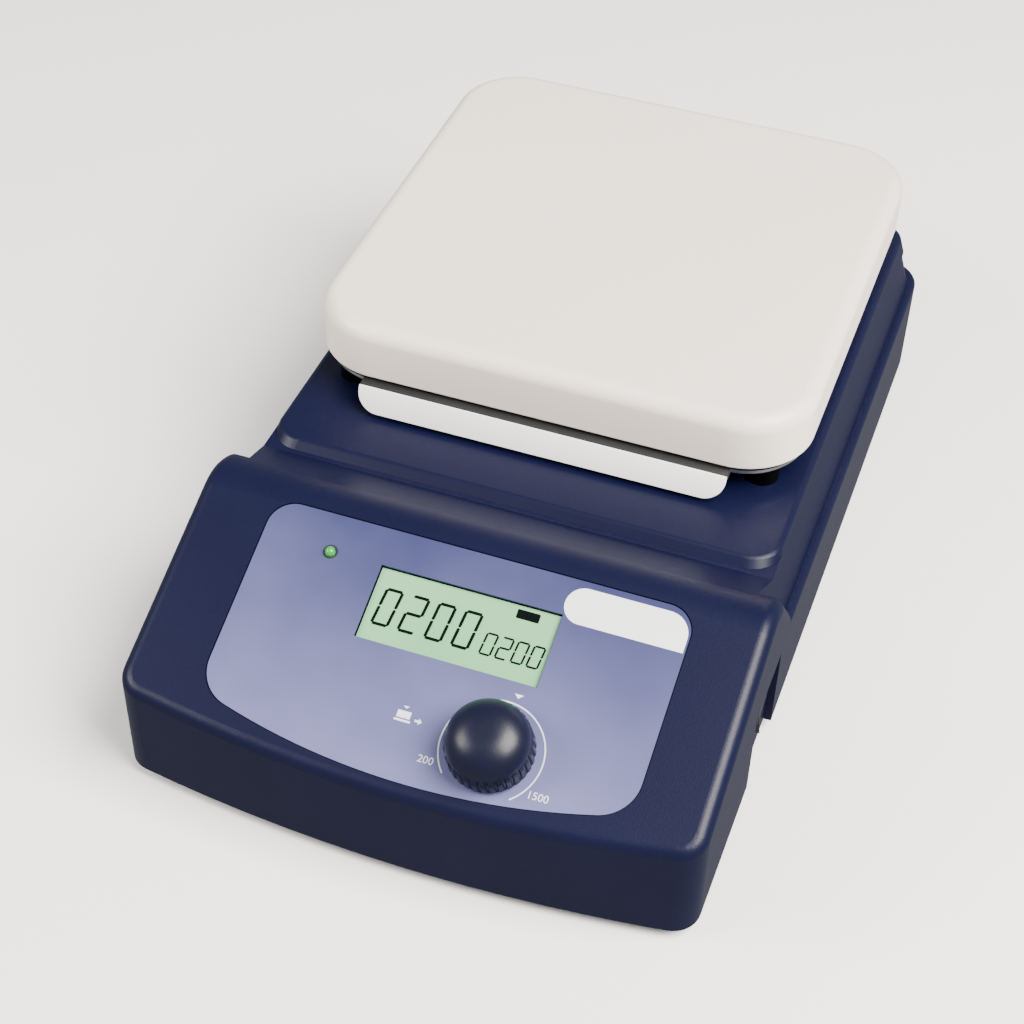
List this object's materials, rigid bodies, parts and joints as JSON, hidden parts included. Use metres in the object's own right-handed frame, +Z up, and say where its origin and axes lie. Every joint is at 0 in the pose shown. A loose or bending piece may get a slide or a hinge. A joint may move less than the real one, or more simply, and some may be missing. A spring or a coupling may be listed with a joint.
{
  "type": "magnetic stirrer",
  "caption": "Bench magnetic stirrer with a square white plate on a steel carrier, navy sloping housing, display and push-turn knob.",
  "frame": {"origin": "on the table under the middle of the whole stirrer's bounding box", "axes": "+Z up, +Y from the control panel towards the mains inlet at the back, +X to the user's right"},
  "size_m": [0.166, 0.277, 0.084],
  "materials": {
    "housing_abs": "navy moulded ABS, fine satin texture",
    "base_abs": "black moulded ABS",
    "plate_enamel": "satin warm-white ceramic coating on cast aluminium",
    "stainless": "bright rolled stainless sheet",
    "black_rubber": "moulded rubber",
    "panel_film": "violet-blue printed polyester film",
    "lcd": "green liquid crystal glass",
    "white_plastic": "white light guide",
    "green_lens": "green tinted lamp lens",
    "knob_abs": "dark navy moulded ABS, satin",
    "circuit_board": "green solder mask",
    "black_plastic": "black thermoset",
    "zinc_steel": "zinc-plated steel",
    "bright_steel": "ground steel",
    "brass": "brass",
    "ceramic": "steatite ceramic",
    "aluminium": "machined aluminium",
    "core_steel": "laminated electrical steel",
    "copper": "enamelled copper wire",
    "wire_pvc": "PVC insulation",
    "label_foil": "blank foil label"
  },
  "bodies": {
    "root": {"base_plate": "base_abs", "base_screws": "zinc_steel", "bracket_grommets": "black_rubber", "bracket_screws": "zinc_steel", "capacitors": "black_plastic", "carrier_posts": "zinc_steel", "carrier_screws": "zinc_steel", "display_board": "circuit_board", "display_parts": "black_plastic", "display_screws": "zinc_steel", "encoder_body": "black_plastic", "encoder_nut": "bright_steel", "foot_screws": "zinc_steel", "heat_sink": "aluminium", "inlet_contacts": "brass", "inlet_screws": "zinc_steel", "lamp_lens": "green_lens", "lcd_backlight": "white_plastic", "lcd_glass": "lcd", "lower_bearing": "bright_steel", "mains_inlet": "black_plastic", "mains_wires": "wire_pvc", "motor_bracket": "zinc_steel", "motor_cable": "wire_pvc", "motor_can": "zinc_steel", "motor_end_cap": "zinc_steel", "motor_screws": "zinc_steel", "panel_overlay": "panel_film", "plate_carrier": "stainless", "plate_gasket": "black_rubber", "plate_screws": "zinc_steel", "plate_standoffs": "ceramic", "rating_plate": "label_foil", "ribbon_cable": "wire_pvc", "rubber_feet": "black_rubber", "stator_core": "core_steel", "stator_windings": "copper", "supply_board": "circuit_board", "supply_screws": "zinc_steel", "supply_standoffs": "brass", "switch_body": "black_plastic", "switch_wires": "wire_pvc", "top_plate": "plate_enamel", "transformer": "black_plastic", "upper_bearing": "bright_steel", "upper_housing": "housing_abs"},
    "fuse_tray": {"fuse_drawer": "black_plastic", "fuse": "ceramic"},
    "push_rod": {"encoder_plunger": "black_plastic"},
    "dial": {"knob": "knob_abs", "encoder_shaft": "bright_steel"},
    "rotor": {"drive_shaft": "bright_steel", "motor_rotor": "zinc_steel", "magnet_holder": "aluminium", "drive_magnets": "bright_steel", "holder_screw": "zinc_steel"},
    "rocker": {"switch_rocker": "black_plastic"}
  },
  "joints": [
    {"name": "knob_push", "type": "slide", "parent": "root", "child": "push_rod", "axis": [0, 0.3827, -0.9239], "range_m": [0, 0.0005], "stiffness_N_per_m": 6000, "springref_m": -0.0003},
    {"name": "knob_turn", "type": "hinge", "parent": "push_rod", "child": "dial", "pos_m": [0.0222, -0.12102, 0.04086], "axis": [0, -0.3827, 0.9239], "continuous": true},
    {"name": "rotor_spin", "type": "hinge", "parent": "root", "child": "rotor", "pos_m": [0, 0.05395, 0.03], "axis": [0, 0, 1], "continuous": true},
    {"name": "power_rocker", "type": "hinge", "parent": "root", "child": "rocker", "pos_m": [0.078, -0.06655, 0.022], "axis": [0, -0.3827, 0.9239], "range_deg": [-16, 0]},
    {"name": "fuse_drawer_slide", "type": "slide", "parent": "root", "child": "fuse_tray", "axis": [0, 1, 0], "range_m": [0, 0.018]}
  ]
}
